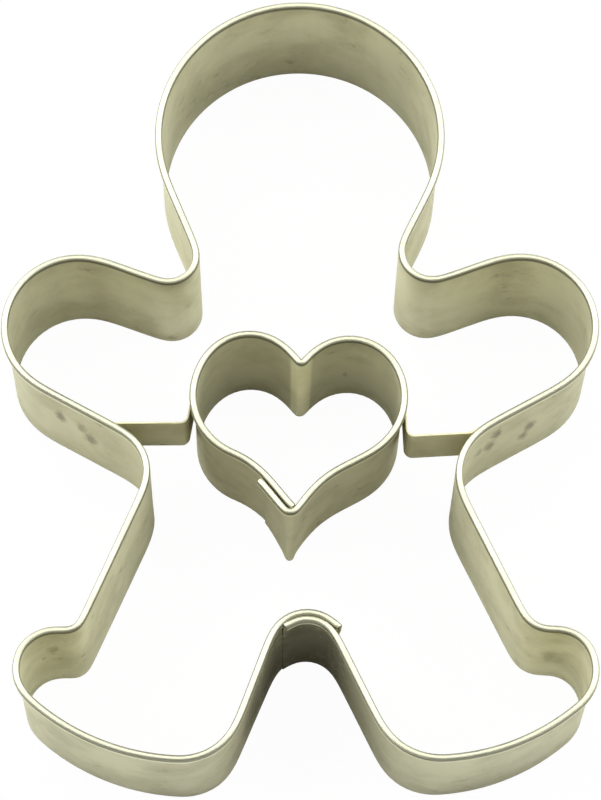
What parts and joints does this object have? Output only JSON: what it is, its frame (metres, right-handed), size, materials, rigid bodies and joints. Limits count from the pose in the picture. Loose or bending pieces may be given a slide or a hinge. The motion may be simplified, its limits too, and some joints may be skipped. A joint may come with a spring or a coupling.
{
  "type": "cookie cutter",
  "caption": "Sheet-metal cookie cutter shaped as a gingerbread figure, with a heart-shaped inner cutter held in its chest by bent brackets under the arms.",
  "frame": {"origin": "middle of the figure's outline, in the plane of the cutting edge, on the bottom of the bounding box", "axes": "+Z from the cutting edge up to the folded rim, +Y from the feet to the head, +X to the right in the view from above with the head up"},
  "size_m": [0.0882, 0.1185, 0.025],
  "materials": {
    "outer_tinplate": "satin tinned steel",
    "heart_tinplate": "satin tinned steel",
    "bracket_tinplate": "dull tinned steel"
  },
  "bodies": {
    "root": {"outer_band": "outer_tinplate", "heart_band": "heart_tinplate", "left_bracket": "bracket_tinplate", "right_bracket": "bracket_tinplate"}
  },
  "joints": []
}
